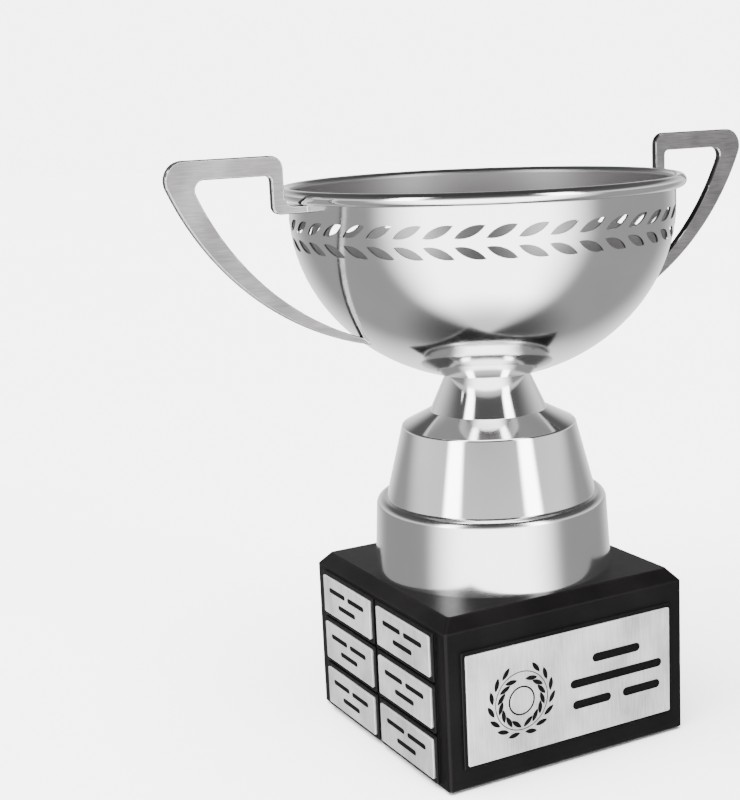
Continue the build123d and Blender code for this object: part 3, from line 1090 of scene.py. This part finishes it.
# %% Camera
heading, tilt, roll = 0.5129, 0.2033, -0.0372
camera_data = bpy.data.cameras.new("camera")
camera_data.lens = 68.36
camera_data.sensor_width = 36.0
camera_data.shift_x = -0.10
camera = bpy.data.objects.new("camera", camera_data)
bpy.context.scene.collection.objects.link(camera)
stand = Matrix.Translation((-0.3669, -0.6142, 0.3096))
pan = Matrix.Rotation(-heading, 4, "Z")
lean = Matrix.Rotation(pi / 2 - tilt, 4, "X")
twist = Matrix.Rotation(roll, 4, "Z")
camera.matrix_world = stand @ (pan @ lean @ twist)
bpy.context.scene.camera = camera

# %% [markdown]
# ## Floor and light
#
# Polished metal shows its surroundings, so the light is built as surroundings, laid out evenly
# to the left and right of the camera: a broad bright panel behind the camera, a dimmer one
# behind the object, dark flags at the sides, a dim ring above the horizon that fades overhead,
# and two upright soft strips. The metal sees the panels below the floor line as well, because
# the floor is hidden from mirrors. Straight ahead, the camera sees one even pale tone that
# meets the floor. One very soft lamp from above lights the floor.

# %% Floor
deselect_all()
bpy.ops.mesh.primitive_circle_add(vertices=96, radius=6.0, fill_type="NGON", location=(0, 0, 0))
floor = bpy.context.object
floor.name = "floor"
floor_paint, floor_tree, floor_shader, floor_where = new_finish("pale_floor", Roughness=0.9)
floor_shader.inputs["Specular IOR Level"].default_value = 0.1
floor_film = place_group(floor_tree, film_group, {"Vector": floor_where, "Patch size": 0.5})
floor_colour = blend_colours(floor_tree, floor_film, (0.88, 0.88, 0.88), (0.90, 0.90, 0.90))
floor_tree.links.new(floor_colour, floor_shader.inputs["Base Color"])
floor.data.materials.append(floor_paint)
floor.visible_glossy = False


# %% Surroundings
def ramp(tree, factor, stops):
    """A smooth grey ramp from (position, brightness) stops."""
    item = add(tree, "ShaderNodeValToRGB", {0: factor})
    item.color_ramp.interpolation = "EASE"
    band = item.color_ramp.elements
    while len(band) < len(stops):
        band.new(0.5)
    for element, (position, grey) in zip(band, stops):
        element.position = position
        element.color = (grey, grey, grey, 1.0)
    return item.outputs[0]


world = bpy.data.worlds.new("studio")
world.use_nodes = True
bpy.context.scene.world = world
sky = world.node_tree
background = sky.nodes["Background"]
direction = add(sky, "ShaderNodeTexCoord").outputs["Generated"]
towards_camera = (-sin(heading), -cos(heading), 0.0)
to_the_right = (cos(heading), -sin(heading), 0.0)
ahead = vector_math(sky, "DOT_PRODUCT", direction, towards_camera).outputs["Value"]
aside = vector_math(sky, "DOT_PRODUCT", direction, to_the_right).outputs["Value"]
bearing = calculate(sky, "ARCTAN2", aside, ahead)
turn = calculate(sky, "MULTIPLY_ADD", bearing, 0.5 / pi, 0.5)
height = add(sky, "ShaderNodeSeparateXYZ", {0: direction}).outputs["Z"]
level = calculate(sky, "MULTIPLY_ADD", height, 0.5, 0.5)

# Brightness of the panels, and of the ring of light just above the horizon.
front_panel = 0.60
back_panel = 0.20
side_flag = 0.04
upper_ring = 0.12
low_around = ramp(sky, turn, [
    (0.0, back_panel), (0.15, side_flag), (0.30, side_flag), (0.42, front_panel),
    (0.58, front_panel), (0.70, side_flag), (0.85, side_flag), (1.0, back_panel),
])
low_reach = ramp(sky, level, [(0.0, 0.2), (0.1, 1.0), (0.5, 1.0), (0.55, 0.0)])
high_reach = ramp(sky, level, [(0.5, 0.0), (0.55, 1.0), (0.75, 0.1), (1.0, 0.05)])

# Two strips, an eighth of a turn to either side of the camera.
strip_away, strip_half, strip_edge = 0.125, 0.015, 0.02
strip_stops = []
for middle in (0.5 - strip_away, 0.5 + strip_away):
    strip_stops += [(middle - strip_half - strip_edge, 0.0), (middle - strip_half, 1.0)]
    strip_stops += [(middle + strip_half, 1.0), (middle + strip_half + strip_edge, 0.0)]
strips = ramp(sky, turn, strip_stops)
strip_reach = ramp(sky, level, [(0.5, 0.0), (0.55, 1.0), (0.8, 1.0), (0.9, 0.0)])
low_light = calculate(sky, "MULTIPLY", low_around, low_reach)
high_light = calculate(sky, "MULTIPLY", high_reach, upper_ring)
strip_light = calculate(sky, "MULTIPLY", strips, strip_reach)
total = calculate(sky, "ADD", calculate(sky, "ADD", low_light, high_light), strip_light)
seen = add(sky, "ShaderNodeLightPath").outputs["Is Camera Ray"]
even_tone = 0.57
backdrop = {0: seen, 6: total, 7: (even_tone, even_tone, even_tone, 1.0)}
shown = add(sky, "ShaderNodeMix", backdrop, data_type="RGBA").outputs[2]
sky.links.new(shown, background.inputs["Color"])
background.inputs["Strength"].default_value = 10.0


# %% Soft light from above
lamp_data = bpy.data.lights.new("soft_daylight", "SUN")
lamp_data.energy = 20.0
lamp_data.angle = radians(75)
lamp = bpy.data.objects.new("soft_daylight", lamp_data)
bpy.context.scene.collection.objects.link(lamp)
lamp.rotation_euler = (Vector((0.25, 0.10, -1.0))).to_track_quat("-Z", "Y").to_euler()
lamp.visible_glossy = False
print("surroundings and soft daylight in place")
